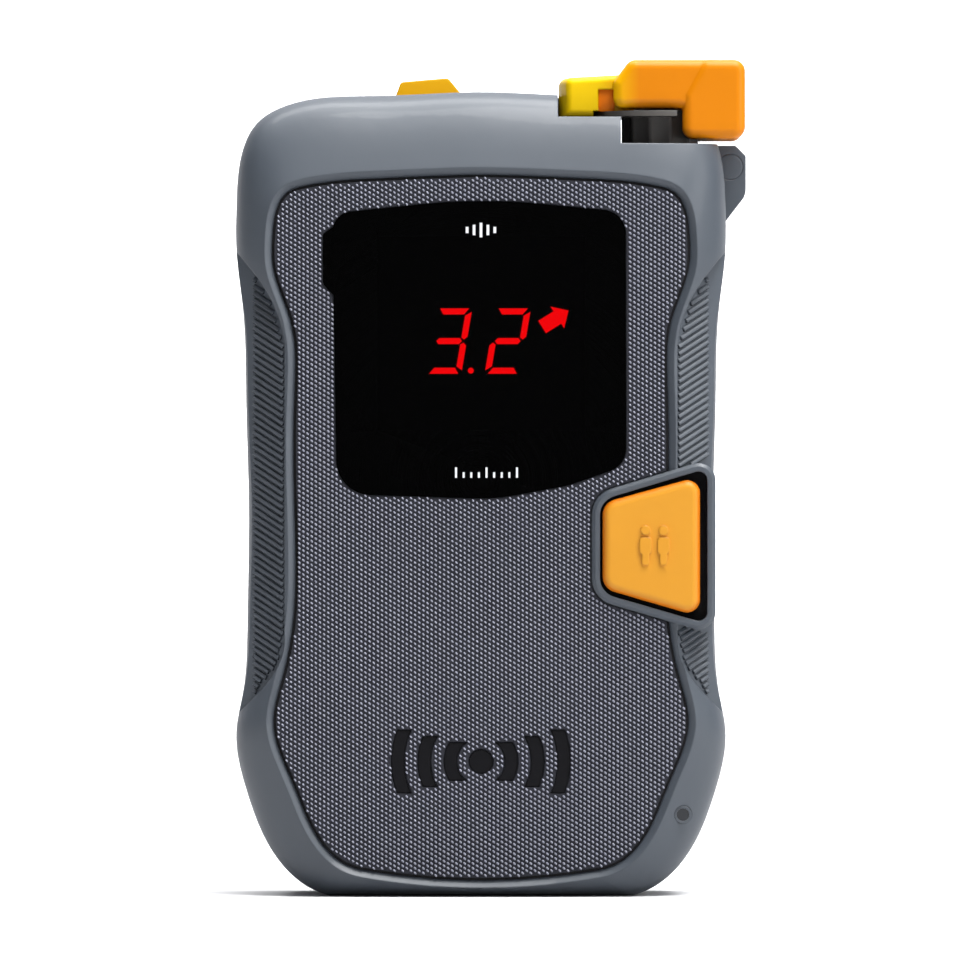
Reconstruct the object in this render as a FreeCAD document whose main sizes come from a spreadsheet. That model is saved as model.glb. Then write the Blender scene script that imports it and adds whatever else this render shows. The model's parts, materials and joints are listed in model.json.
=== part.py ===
"""Avalanche transceiver: two clamped shells, a textured grip panel, a glossy display lens,
a turning mode lever with its lock button, a suppress key, and the electronics inside.

Frame: the device stands on its flat base. +Z runs up its length, +X to the right of someone
facing the display, and the display looks along -Y. The origin is the middle of the base.
"""
import FreeCAD, Part
import Sketcher
import math
import os
import re

V = FreeCAD.Vector
UP = V(0, 0, 1)
BACK = V(0, 1, 0)
RIGHT = V(1, 0, 0)

doc = FreeCAD.newDocument("AvalancheTransceiver")

DIMENSIONS = {
    # case, measured from the parting plane at y = 0
    "wall": 2.0,
    "rim_depth": 5.4,
    "lip_depth": 13.0,
    "lip_width": 1.45,
    "seat_depth": 11.3,
    "cavity_depth": 10.2,
    "wide_cavity_depth": 6.5,
    "back_rim": 8.0,
    "back_depth": 13.5,
    "back_inset": 3.0,
    "back_cavity": 11.5,
    "notch_left": 11.15,
    "notch_floor": 109.0,
    "lever_stop": 2.3,
    "stop_front": 6.6,
    "step_left": 20.25,
    "step_top": 112.9,
    "scallop_inner": 12.3,
    "scallop_outer": 4.2,
    "lip_drop": 0.8,
    # panel, lens and emblem
    "panel_gap": 0.4,
    "gasket_front": 12.1,
    "panel_front": 12.7,
    "lens_front": 12.9,
    "lens_gap": 0.1,
    "emblem_z": 19.6,
    "emblem_floor": 12.1,
    "emblem_front": 12.45,
    # suppress key
    "bezel_front": 13.4,
    "bezel_back": 5.0,
    "bezel_wall": 1.2,
    "well_floor": 9.0,
    "key_front": 14.2,
    "key_fillet": 1.2,
    "figure_height": 0.3,
    "figure_x": 25.05,
    "key_back": 11.0,
    "key_x": 24.6,
    "key_z": 50.7,
    "stem_radius": 1.6,
    "stem_end": 6.3,
    "membrane_front": 9.9,
    # mode lever and its shaft
    "lever_x": 26.05,
    "lever_reach": 14.75,
    "lever_bottom": 114.2,
    "lever_top": 121.2,
    "lever_tab_bottom": 113.05,
    "lever_tab_relief": 113.85,
    "lever_block_left": 29.2,
    "lever_block_right": 38.3,
    "lever_block_bottom": 109.8,
    "lever_half_depth": 8.5,
    "lever_swell": 0.35,
    "lever_shoulder": 19.2,
    "lever_tab_half_depth": 6.0,
    "relief_left": 16.3,
    "shaft_radius": 1.6,
    "shaft_top": 118.6,
    "shaft_bottom": 99.8,
    "collar_radius": 5.7,
    "collar_top": 114.0,
    "collar_bore": 1.7,
    "washer_radius": 9.7,
    "washer_bottom": 113.0,
    "washer_top": 113.8,
    "neck_radius": 3.2,
    "wheel_radius": 5.0,
    "wheel_bottom": 101.5,
    "wheel_top": 104.0,
    # lock button
    "lock_left": -12.4,
    "lock_right": -2.9,
    "lock_front": 2.0,
    "lock_back": 8.0,
    "lock_top": 118.9,
    "lock_flange_top": 113.9,
    "lock_flange": 1.4,
    "shelf_top": 104.2,
    "lock_arm_top": 106.5,
    "lock_arm_height": 2.0,
    "lock_arm_front": 3.6,
    "lock_arm_back": 5.4,
    # display module
    "module_half_width": 14.0,
    "module_bottom": 68.5,
    "module_top": 94.5,
    "module_margin": 1.0,
    # battery bay and door
    "bay_half_width": 20.2,
    "bay_side": 1.8,
    "bay_foot": 4.5,
    "bay_roof": 1.6,
    "bay_front": 0.5,
    "bay_side_front": 8.0,
    "bay_back": 12.0,
    "cell_radius": 5.25,
    "cell_length": 44.5,
    "cell_bottom": 10.5,
    "cell_pitch": 11.0,
    "cell_y": 6.0,
    "bay_bottom": 8.2,
    "bay_top": 57.6,
    "door_half_width": 18.8,
    "door_top": 58.0,
    "door_gap": 0.2,
    "door_inner": 11.9,
    "hinge_z": 7.2,
    "hinge_radius": 1.6,
    "stub_radius": 0.8,
    "stub_length": 1.2,
    "screw_z": 61.5,
    "screw_head": 4.0,
    "screw_shank": 1.45,
    "insert_radius": 2.6,
    "insert_bore": 1.75,
    "insert_boss": 4.2,
    "insert_boss_front": 6.0,
    # board and antennas
    "board_front": -2.8,
    "board_back": -1.2,
    "board_half_width": 26.5,
    "board_bottom": 9.0,
    "board_top": 103.0,
    "rod_radius": 3.2,
    "coil_radius": 4.0,
    "long_rod_x": -24.5,
    "long_rod_bottom": 31.0,
    "long_rod_top": 91.0,
    "short_rod_z": 97.0,
    "short_rod_left": -16.0,
    "short_rod_right": 14.0,
    "antenna_y": 5.4,
    # fastenings and fittings
    "boss_x": 29.8,
    "boss_low_z": 24.0,
    "boss_high_z": 98.0,
    "boss_radius": 2.6,
    "case_screw_radius": 1.2,
    "head_seat": 10.6,
    "head_radius": 2.3,
    "slot_left": 33.6,
    "slot_front": 3.1,
    "slot_back": 7.1,
    "bar_x": 36.3,
    "bar_z": 105.9,
    "bar_radius": 1.1,
    "bar_head": 1.85,
    "ear_front": 0.6,
    "ear_back": 9.6,
    "light_x": 29.2,
    "light_z": 11.9,
    "light_radius": 0.9,
    "light_ring": 1.25,
    "light_front": 11.75,
    "speaker_x": 6.0,
    "speaker_z": 79.0,
    "speaker_radius": 9.5,
    "grille_pitch": 2.6,
    "grille_hole": 0.7,
}

# Right half of each closed outline, (x, z), from the bottom up to the middle of the top.
CASE_OUTLINE = [
    (22.0, 0.0), (27.4, 2.9), (30.9, 7.4), (33.9, 14.8), (35.5, 24.2), (34.6, 29.2),
    (33.9, 40.0), (33.7, 57.0), (34.1, 72.0), (34.5, 84.5), (35.5, 93.5), (35.5, 100.5),
    (34.8, 107.4), (32.6, 112.0), (28.4, 114.6), (14.5, 116.05), (0.0, 116.6),
]
PANEL_OUTLINE = [
    (17.0, 4.3), (21.6, 6.7), (24.3, 10.6), (26.9, 16.8), (29.6, 25.2), (28.3, 31.6),
    (26.8, 39.4), (26.6, 57.0), (26.6, 72.0), (27.2, 83.6), (29.75, 91.6), (29.75, 95.5),
    (29.2, 99.2), (27.9, 101.4), (25.2, 102.45), (13.0, 103.55), (0.0, 104.0),
]
PANEL_SAG = 1.5
# Closed outlines with rounded corners: (x, z, corner radius).
LENS_OUTLINE = [
    (-21.5, 98.75, 3.0), (0.0, 101.0, 90.0), (20.9, 98.95, 3.4), (20.95, 62.4, 3.4),
    (12.6, 59.5, 14.0), (2.0, 57.55, 30.0), (-20.8, 58.3, 5.0),
]
KEY_OUTLINE = [(16.0, 58.2, 4.0), (33.9, 63.6, 2.5), (33.9, 37.9, 2.5), (16.0, 43.1, 4.0)]
CAP_OUTLINE = [(17.55, 57.0, 2.4), (31.65, 60.85, 1.9), (31.65, 40.5, 1.9),
               (17.55, 44.6, 2.4)]
DOOR_TAB_RADIUS = 5.6

sheet = doc.addObject("Spreadsheet::Sheet", "Sizes")
for row, (alias, number) in enumerate(DIMENSIONS.items(), start=1):
    sheet.set(f"A{row}", alias)
    sheet.set(f"B{row}", str(number))
    sheet.setAlias(f"B{row}", alias)
doc.recompute()

pieces = []


def size(alias):
    """A driving dimension, read back from the sheet."""
    return float(sheet.get(alias))


def bound(text):
    """The text of an expression, with each alias pointed at the sheet."""
    def point(match):
        word = match.group()
        return "Sizes." + word if word in DIMENSIONS else word
    return re.sub(r"[a-z_]+", point, text)


def bind(thing, **formulas):
    """Drive the properties of an object from the sheet; double underscores stand for dots."""
    for name, formula in formulas.items():
        thing.setExpression(name.replace("__", "."), bound(formula))
    return thing


def place(thing, x, y, z):
    """Put an object's base point at three formulas."""
    return bind(thing, Placement__Base__x=x, Placement__Base__y=y, Placement__Base__z=z)


def piece(label, thing):
    """Register an object as a sub-part; its label names its file."""
    thing.Label = label
    pieces.append(thing)
    return thing


def box(name, x, y, z):
    """A box between two formulas on each axis."""
    block = doc.addObject("Part::Box", name)
    bind(block, Length=f"({x[1]}) - ({x[0]})", Width=f"({y[1]}) - ({y[0]})",
         Height=f"({z[1]}) - ({z[0]})")
    return place(block, x[0], y[0], z[0])


def turned(axis):
    """The rotation that lays a z-directed primitive along the named axis."""
    return {"x": FreeCAD.Rotation(BACK, 90), "y": FreeCAD.Rotation(RIGHT, -90),
            "z": FreeCAD.Rotation()}[axis]


def rod(name, axis, radius, start, length):
    """A cylinder of that radius from a start point, along an axis."""
    cylinder = doc.addObject("Part::Cylinder", name)
    cylinder.Placement = FreeCAD.Placement(V(), turned(axis))
    bind(cylinder, Radius=radius, Height=length)
    return place(cylinder, *start)


def ring(name, axis, outer, inner, start, length):
    """A plain tube."""
    return cut(name, rod(name + "_outside", axis, outer, start, length),
               rod(name + "_bore", axis, inner, start, length))


def cut(name, base, tool):
    """One object less another, as a parametric boolean."""
    result = doc.addObject("Part::Cut", name)
    result.Base = base
    result.Tool = tool
    return result


def fuse(name, *shapes):
    """Several objects joined, as a parametric boolean."""
    result = doc.addObject("Part::MultiFuse", name)
    result.Shapes = list(shapes)
    return result


def group(name, *shapes):
    """Separate solids that share one sub-part."""
    result = doc.addObject("Part::Compound", name)
    result.Links = list(shapes)
    return result


def shaped(name, shape):
    """A sub-part or tool whose shape is worked out from the sheet in code."""
    feature = doc.addObject("Part::Feature", name)
    feature.Shape = shape
    feature.Placement = FreeCAD.Placement()
    return feature


# ---- outlines ----------------------------------------------------------------------------

def grown(points, distance):
    """The half outline moved outward by a distance, square to itself."""
    first_x, first_z = points[0]
    last_x, last_z = points[-2]
    closed = [(-first_x, first_z)] + points + [(-last_x, last_z)]
    moved = []
    for before, here, after in zip(closed, closed[1:], closed[2:]):
        run_x = after[0] - before[0]
        run_z = after[1] - before[1]
        length = math.hypot(run_x, run_z)
        moved.append((here[0] + distance * run_z / length, here[1] - distance * run_x / length))
    moved[-1] = (0.0, moved[-1][1])
    return moved


def mixed(outer, inner, share):
    """A half outline part of the way from one outline to another."""
    return [(a + share * (c - a), b + share * (d - b)) for (a, b), (c, d) in zip(outer, inner)]


def outline_wire(points, y, sag=0.0, straight_foot=False):
    """The closed wire of a half outline at a depth; the bottom edge sags in the middle."""
    whole = points + [(-x, z) for x, z in reversed(points[:-1])]
    side = Part.BSplineCurve()
    side.interpolate([V(x, y, z) for x, z in whole])
    foot_x, foot_z = points[0]
    if straight_foot:
        foot = Part.LineSegment(V(-foot_x, y, foot_z), V(foot_x, y, foot_z))
    else:
        foot = Part.BSplineCurve()
        foot.interpolate([V(-foot_x, y, foot_z), V(0, y, foot_z - sag), V(foot_x, y, foot_z)])
    return Part.Wire([side.toShape(), foot.toShape()])


def prism(points, y_from, y_to, sag=0.0):
    """The solid inside a half outline between two depths."""
    face = Part.Face(outline_wire(points, y_from, sag, straight_foot=sag == 0))
    return face.extrude(V(0, y_to - y_from, 0))


def rounded_edges(corners, y):
    """Lines and arcs of a closed outline with a radius at each (x, z, radius) corner."""
    ends = []
    count = len(corners)
    for index in range(count):
        here = V(corners[index][0], y, corners[index][1])
        before = V(corners[index - 1][0], y, corners[index - 1][1])
        after = V(corners[(index + 1) % count][0], y, corners[(index + 1) % count][1])
        incoming = (before - here).normalize()
        outgoing = (after - here).normalize()
        half_angle = incoming.getAngle(outgoing) / 2
        radius = corners[index][2]
        reach = radius / math.tan(half_angle)
        middle = (incoming + outgoing).normalize() * (radius / math.sin(half_angle) - radius)
        ends.append((here + incoming * reach, here + middle, here + outgoing * reach))
    edges = []
    for index, (start, middle, stop) in enumerate(ends):
        edges.append(Part.Arc(start, middle, stop))
        edges.append(Part.LineSegment(stop, ends[(index + 1) % count][0]))
    return edges


def rounded_prism(corners, y_from, y_to):
    """The solid inside a rounded outline between two depths."""
    wire = Part.Wire([edge.toShape() for edge in rounded_edges(corners, y_from)])
    return Part.Face(wire).extrude(V(0, y_to - y_from, 0))


def inset(corners, distance):
    """A convex rounded outline moved inward by a distance."""
    count = len(corners)
    moved = []
    for index, (x, z, radius) in enumerate(corners):
        before = corners[index - 1]
        after = corners[(index + 1) % count]
        here = V(x, 0, z)
        incoming = (V(before[0], 0, before[1]) - here).normalize()
        outgoing = (V(after[0], 0, after[1]) - here).normalize()
        half_angle = incoming.getAngle(outgoing) / 2
        step = (incoming + outgoing).normalize() * (distance / math.sin(half_angle))
        moved.append((x + step.x, z + step.z, max(radius - distance, 0.3)))
    return moved


# ---- shells ------------------------------------------------------------------------------

LIP_OUTLINE = grown(PANEL_OUTLINE, size("lip_width"))
FAR = 60.0
TALL = 140.0


def block(x_from, x_to, y_from, y_to, z_from, z_to):
    """A box shape between two numbers on each axis."""
    corner = V(x_from, y_from, z_from)
    return Part.makeBox(x_to - x_from, y_to - y_from, z_to - z_from, corner)


def bar_y(x, z, radius, y_from, y_to):
    """A cylinder shape from front to back."""
    return Part.makeCylinder(radius, y_to - y_from, V(x, y_from, z), BACK)


def notch(margin):
    """The cut at the top right where the lever and its hub stand, grown by a margin."""
    left = size("notch_left") - margin
    return block(left, FAR, -FAR, FAR, size("notch_floor") - margin, TALL)


def walled(inset_by, y_from, y_to):
    """The inside of the case at a distance from its outer surface."""
    return prism(grown(CASE_OUTLINE, -inset_by), y_from, y_to).cut(notch(inset_by))


def bosses(y_from, y_to, radius):
    """Round columns for the four case screws."""
    columns = []
    for side in (-1, 1):
        for z in (size("boss_low_z"), size("boss_high_z")):
            columns.append(bar_y(side * size("boss_x"), z, radius, y_from, y_to))
    return columns


def collar_hole(radius):
    """The hole in the notch floor that the collar's neck passes through."""
    return Part.makeCylinder(radius, 8, V(size("lever_x"), 0, size("notch_floor") - 6), UP)


HIGH_CREASE = [(37.0, 95.0), (33.2, 90.7), (29.9, 85.5), (28.4, 80.0)]
LOW_CREASE = [(28.4, 38.0), (29.3, 33.4), (33.2, 28.4), (37.0, 24.6)]


def scallop(side):
    """The slanted hollow in the waist of one flank, where the grip ribs sit."""
    creases = []
    for points in (LOW_CREASE, HIGH_CREASE):
        crease = Part.BSplineCurve()
        crease.interpolate([V(x, 0, z) for x, z in points])
        creases.append(crease)
    low, high = creases
    rim = Part.LineSegment(low.EndPoint, high.StartPoint)
    edge = Part.LineSegment(high.EndPoint, low.StartPoint)
    region = Part.Wire([curve.toShape() for curve in (low, rim, high, edge)])
    column = Part.Face(region).extrude(V(0, -20, 0))
    inner_x, outer_x = LOW_CREASE[0][0], LOW_CREASE[-1][0]
    inner_y, outer_y = -size("scallop_inner"), -size("scallop_outer")
    slope = Part.makePolygon([V(outer_x, outer_y, 20), V(inner_x, inner_y, 20),
                              V(inner_x, -20, 20), V(outer_x, -20, 20),
                              V(outer_x, outer_y, 20)])
    wedge = Part.Face(slope).extrude(V(0, 0, 80))
    hollow = column.common(wedge)
    return hollow if side > 0 else hollow.mirror(V(), RIGHT)


def front_body():
    """The front half: a straight rim, then a rounded shoulder that narrows to the panel lip."""
    rim = size("rim_depth")
    lip = size("lip_depth")
    body = prism(CASE_OUTLINE, 0, -rim)
    rise = lip - rim
    sections = []
    for depth_share, inset_share in ((0.0, 0.0), (0.4, 0.14), (0.7, 0.45), (1.0, 1.0)):
        outline = mixed(CASE_OUTLINE, LIP_OUTLINE, inset_share)
        sections.append(outline_wire(outline, -rim - rise * depth_share, PANEL_SAG * inset_share))
    body = body.fuse(Part.makeLoft(sections, True, False))
    body = body.cut([scallop(1), scallop(-1)])
    tall_step = block(size("notch_left"), FAR, -FAR, FAR, size("step_top"), TALL)
    low_step = block(size("step_left"), FAR, -FAR, FAR, size("notch_floor"), TALL)
    return body.cut([tall_step, low_step])


def module_window():
    """The opening behind the lens for the display module."""
    margin = size("module_margin")
    half = size("module_half_width") + margin
    return block(-half, half, -FAR, 0, size("module_bottom") - margin,
                 size("module_top") + margin)


def front_shell():
    """The front half hollowed out, with the panel seat, the key well and the screw columns."""
    body = front_body()
    bezel = rounded_prism(KEY_OUTLINE, -size("bezel_back"), -size("bezel_front"))
    edges = [edge for edge in bezel.Edges
             if edge.BoundBox.YMax < 0.5 - size("bezel_front")]
    bezel = bezel.makeChamfer(0.5, edges)
    body = body.fuse(bezel)
    narrow = prism(grown(PANEL_OUTLINE, -1.2), 0, -size("cavity_depth"), PANEL_SAG)
    inside = walled(size("wall"), 1, -size("wide_cavity_depth")).fuse(narrow.cut(notch(2.0)))
    body = body.cut(inside)
    body = body.fuse([column.common(front_body()) for column in
                      bosses(-size("wide_cavity_depth") - 1, 0, size("boss_radius"))])
    seat = prism(grown(PANEL_OUTLINE, size("panel_gap")), -size("seat_depth"), -FAR, PANEL_SAG)
    seat = seat.cut(rounded_prism(KEY_OUTLINE, 0, -FAR))
    lip = size("lip_depth")
    bevel = [outline_wire(grown(PANEL_OUTLINE, size("panel_gap")), size("lip_drop") - lip, PANEL_SAG),
             outline_wire(grown(LIP_OUTLINE, 0.05), -lip - 0.05, PANEL_SAG)]
    lip_bevel = Part.makeLoft(bevel, True, True).cut(rounded_prism(KEY_OUTLINE, 0, -FAR))
    cuts = [seat, lip_bevel]
    cuts.append(rounded_prism(inset(KEY_OUTLINE, size("bezel_wall")),
                              -size("well_floor"), -FAR))
    cuts.append(module_window())
    cuts.append(bar_y(size("key_x"), size("key_z"), 2.0, -size("well_floor") - 1, 0))
    cuts.append(bar_y(size("light_x"), size("light_z"), size("light_ring") + 0.02, -FAR, 0))
    cuts.append(collar_hole(size("neck_radius") + 0.1))
    cuts += bosses(-size("wide_cavity_depth"), 0, size("case_screw_radius") + 0.05)
    cuts.append(walled(0.5, 0, -0.9).cut(walled(1.5, 1, -2)))
    return body.cut(cuts)


def rear_body():
    """The rear half: a straight rim, then a rounded edge to the flat back."""
    rim = size("back_rim")
    rise = size("back_depth") - rim
    body = prism(CASE_OUTLINE, 0, rim)
    sections = []
    for depth_share, inset_share in ((0.0, 0.0), (0.55, 0.18), (0.87, 0.55), (1.0, 1.0)):
        outline = grown(CASE_OUTLINE, -size("back_inset") * inset_share)
        sections.append(outline_wire(outline, rim + rise * depth_share, straight_foot=True))
    body = body.fuse(Part.makeLoft(sections, True, False))
    left = size("notch_left")
    stop = block(left, left + size("lever_stop"), size("stop_front"), FAR, 0, TALL)
    return body.cut(notch(0.0).cut(stop))


def lanyard_ear():
    """The slotted ear at the upper right that holds the lanyard bar."""
    corners = [(30.0, 109.0, 0.5), (37.1, 109.0, 0.5), (38.6, 107.5, 0.5), (38.6, 101.8, 2.5),
               (35.4, 97.6, 2.0), (30.0, 96.0, 0.5)]
    return rounded_prism(corners, size("ear_front"), size("ear_back"))


def door_opening():
    """The opening for the door, its hinge barrel and its screw tab."""
    gap = size("door_gap")
    half = size("door_half_width") + gap
    low = size("hinge_z") - size("hinge_radius") - gap
    high = size("door_top") + gap
    opening = block(-half, half, size("door_inner") - 0.1, FAR, low, high)
    hinge = block(-half, half, size("door_inner") - 2.0, FAR, low, size("bay_bottom") + 1.0)
    tab = bar_y(0, size("screw_z"), DOOR_TAB_RADIUS + gap, size("door_inner") - 0.1, FAR)
    bay = block(-half + 1.4, half - 1.4, 0, FAR, size("bay_bottom"), size("bay_top"))
    return [opening, hinge, tab, bay]


def bay_walls():
    """The floor, roof and side walls of the battery bay."""
    half, side = size("bay_half_width"), size("bay_side")
    back, foot = size("bay_back"), size("bay_foot")
    roof = size("bay_top") + size("bay_roof")
    walls = [block(-half, half, size("bay_front"), back, foot, size("bay_bottom")),
             block(-half, half, size("bay_front"), back, size("bay_top"), roof)]
    for left in (-half, half - side):
        walls.append(block(left, left + side, size("bay_side_front"), back, foot,
                           size("door_top") + 1.0))
    return walls


def spring_shelf():
    """The ledge that the lock button's spring stands on."""
    top = size("shelf_top")
    return block(size("lock_left") + 0.2, size("lock_right") - 0.3, 1.0, size("bay_back"),
                 top - 1.0, top)


def grille():
    """The square field of small holes over the speaker."""
    holes = []
    for row in range(-2, 3):
        for column in range(-2, 3):
            holes.append(bar_y(size("speaker_x") + size("grille_pitch") * column,
                               size("speaker_z") + size("grille_pitch") * row,
                               size("grille_hole"), 10.0, FAR))
    return holes


def rear_shell():
    """The rear half hollowed out, with the ear, the battery bay and the screw columns."""
    body = rear_body().fuse(lanyard_ear())
    body = body.cut(walled(size("wall"), -1, size("back_cavity")))
    solid = rear_body()
    posts = bosses(0, size("back_depth"), size("boss_radius")) + bay_walls()
    posts.append(bar_y(0, size("screw_z"), size("insert_boss"), size("insert_boss_front"),
                       size("back_depth")))
    posts.append(spring_shelf())
    body = body.fuse([post.common(solid) for post in posts])
    cuts = door_opening()
    half = size("door_half_width") + size("door_gap")
    stub = size("stub_radius") + 0.06
    for side in (-1, 1):
        cuts.append(Part.makeCylinder(stub, 1.4, V(side * half, size("door_inner"),
                                                   size("hinge_z")), V(side, 0, 0)))
    cuts.append(bar_y(0, size("screw_z"), size("insert_radius"), 7.0, FAR))
    cuts += bosses(-1, FAR, size("case_screw_radius") + 0.15)
    cuts += bosses(size("head_seat"), FAR, size("head_radius") + 0.1)
    cuts.append(collar_hole(size("neck_radius") + 0.1))
    margin = 0.2
    cuts.append(block(size("lock_left") - margin, size("lock_right") + margin,
                      size("lock_front") - margin, size("lock_back") + margin, 112.0, TALL))
    cuts.append(block(size("slot_left"), FAR, size("slot_front"), size("slot_back"), 90.0,
                      TALL))
    cuts.append(bar_y(size("bar_x"), size("bar_z"), size("bar_radius") + 0.03, 0, 9.0))
    cuts.append(bar_y(size("bar_x"), size("bar_z"), size("bar_head") + 0.04, 0, 1.8))
    return body.cut(cuts + grille())


def case_seal():
    """The soft cord in the groove between the shells, broken where the collar passes."""
    cord = walled(0.55, 0, -0.85).cut(walled(1.45, 1, -2))
    return cord.cut(collar_hole(size("neck_radius") + 0.3))


piece("front_shell", shaped("FrontShell", front_shell()))
piece("rear_shell", shaped("RearShell", rear_shell()))
piece("case_seal", shaped("CaseSeal", case_seal()))


# ---- panel, lens and emblem --------------------------------------------------------------

def emblem(y_from, y_to, swell):
    """A dot between spreading arcs, each solid swollen by a margin."""
    depth = y_to - y_from
    centre = V(0, y_from, size("emblem_z"))
    shapes = [Part.makeCylinder(1.7 + swell, depth, centre, BACK)]
    for radius, half_height in ((4.4, 2.7), (8.2, 3.6), (12.0, 4.5)):
        outer = Part.makeCylinder(radius + 0.9 + swell, depth, centre, BACK)
        circle = outer.cut(Part.makeCylinder(radius - 0.9 - swell, depth, centre, BACK))
        limit = half_height + swell
        for low, high in ((-FAR, -2.0), (2.0, FAR)):
            shapes.append(circle.common(block(low, high, -FAR, FAR, centre.z - limit,
                                              centre.z + limit)))
    return shapes


def lens_solid(y_from, y_to, margin):
    """The lens outline with its small side tab."""
    body = rounded_prism(inset(LENS_OUTLINE, -margin), y_from, y_to)
    tab = [(-22.8, 95.8, 0.8), (-19.0, 98.4, 0.5), (-19.0, 84.6, 0.5), (-22.8, 88.6, 0.8)]
    return body.fuse(rounded_prism(inset(tab, -margin), y_from, y_to)).removeSplitter()


def grip_panel():
    """The panel plate, open for the lens and the key, with recesses for the emblem."""
    body = prism(PANEL_OUTLINE, -size("seat_depth"), -size("panel_front"), PANEL_SAG)
    cuts = [lens_solid(0, -FAR, size("lens_gap")),
            rounded_prism(inset(KEY_OUTLINE, -0.15), 0, -FAR)]
    cuts += emblem(-size("lip_depth"), -size("emblem_floor"), 0.15)
    return body.cut(cuts)


def panel_gasket():
    """The soft cord that fills the gap round the panel, a little below its face."""
    back, front = -size("seat_depth"), -size("gasket_front")
    outside = prism(grown(PANEL_OUTLINE, size("panel_gap") - 0.03), back, front, PANEL_SAG)
    inside = prism(grown(PANEL_OUTLINE, 0.03), 0, -FAR, PANEL_SAG)
    return outside.cut([inside, rounded_prism(inset(KEY_OUTLINE, -0.1), 0, -FAR)])


piece("grip_panel", shaped("GripPanel", grip_panel()))
piece("panel_gasket", shaped("PanelGasket", panel_gasket()))
piece("display_lens", shaped("DisplayLens", lens_solid(-size("seat_depth"),
                                                       -size("lens_front"), 0.0)))
piece("front_emblem", shaped("FrontEmblem", Part.makeCompound(
    emblem(-size("emblem_front"), -size("emblem_floor"), 0.0))))


def lens_marks():
    """A small wave icon at the top of the lens and a row of ticks below the digits."""
    front = -size("lens_front") - 0.04
    back = -size("lens_front")
    marks = []
    for index, height in enumerate((0.9, 1.5, 2.1, 1.5, 0.9)):
        x = -2.0 + index
        marks.append(block(x - 0.2, x + 0.2, front, back, 96.4 - height / 2, 96.4 + height / 2))
    for index in range(9):
        x = -3.6 + index * 1.1
        height = 1.5 if index % 4 == 0 else 0.8
        marks.append(block(x - 0.15, x + 0.15, front, back, 60.6, 60.6 + height))
    return Part.makeCompound(marks)


piece("lens_marks", shaped("LensMarks", lens_marks()))


# ---- display -----------------------------------------------------------------------------

DIGIT_HEIGHT = 9.45
DIGIT_WIDTH = 5.1
SEGMENT = 0.87
SLANT = math.tan(math.radians(9.6))
LIT = {"3": "abcdg", "2": "abdeg"}


def segment_bar(x, z, name):
    """One bar of a seven-segment digit whose lower left corner is at (x, z)."""
    middle = DIGIT_HEIGHT / 2
    half = SEGMENT / 2
    edge = DIGIT_WIDTH - SEGMENT
    if name == "g":
        points = [(0.7, middle), (1.05, middle + half), (DIGIT_WIDTH - 1.05, middle + half),
                  (DIGIT_WIDTH - 0.7, middle), (DIGIT_WIDTH - 1.05, middle - half),
                  (1.05, middle - half)]
    elif name in "ad":
        points = [(0.45, 0.0), (DIGIT_WIDTH - 0.45, 0.0), (DIGIT_WIDTH - 1.05, SEGMENT),
                  (1.05, SEGMENT)]
    else:
        points = [(DIGIT_WIDTH, 0.5), (DIGIT_WIDTH, middle - 0.65),
                  (DIGIT_WIDTH - half, middle - 0.22), (edge, middle - 0.5), (edge, 1.05)]
    if name in "abf":
        points = [(px, DIGIT_HEIGHT - pz) for px, pz in points]
    if name in "ef":
        points = [(DIGIT_WIDTH - px, pz) for px, pz in points]
    corners = [V(x + px + SLANT * pz, 0, z + pz) for px, pz in points]
    return Part.Face(Part.makePolygon(corners + corners[:1]))


def arrow_face(x, z, angle):
    """A broad arrow centred at (x, z), pointing along an angle from +x."""
    tail, neck, tip = -2.25, 0.35, 2.25
    shaft, head = 1.05, 1.85
    outline = [(tail, -shaft), (neck, -shaft), (neck, -head), (tip, 0.0), (neck, head),
               (neck, shaft), (tail, shaft)]
    corners = [V(px, 0, pz) for px, pz in outline]
    face = Part.Face(Part.makePolygon(corners + corners[:1]))
    face.rotate(V(), BACK, -angle)
    face.translate(V(x, 0, z))
    return face


DIGIT_Z = 75.65
DIGITS = {"3": -7.95, "2": 0.53}
LIT_ARROW = 32
ARROWS = {8: (10.9, 78.2), LIT_ARROW: (10.75, 83.6), 90: (0.0, 89.4), 148: (-10.75, 83.6),
          172: (-11.1, 78.2)}
LIGHT_BACK = -11.05
LIGHT_FRONT = -11.2


def raised(faces):
    """Thin plates of light standing on the display module."""
    plates = []
    for face in faces:
        face.translate(V(0, LIGHT_BACK, 0))
        plates.append(face.extrude(V(0, LIGHT_FRONT - LIGHT_BACK, 0)))
    return Part.makeCompound(plates)


def segments(lit):
    """The lit or the unlit bars, arrows and point of the display."""
    faces = []
    for digit, x in DIGITS.items():
        for name in "abcdefg":
            if (name in LIT[digit]) == lit:
                faces.append(segment_bar(x, DIGIT_Z, name))
    if lit:
        dot = Part.Wire(Part.makeCircle(0.42, V(-1.47, 0, DIGIT_Z + 0.45), BACK))
        faces.append(Part.Face(dot))
    for angle, (x, z) in ARROWS.items():
        if (angle == LIT_ARROW) == lit:
            faces.append(arrow_face(x, z, angle))
    return raised(faces)


piece("lit_segments", shaped("LitSegments", segments(True)))
piece("unlit_segments", shaped("UnlitSegments", segments(False)))
piece("display_module", box("DisplayModule", ("-module_half_width", "module_half_width"),
                            ("-11.0", "board_front"), ("module_bottom", "module_top")))


# ---- suppress key ------------------------------------------------------------------------

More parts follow.
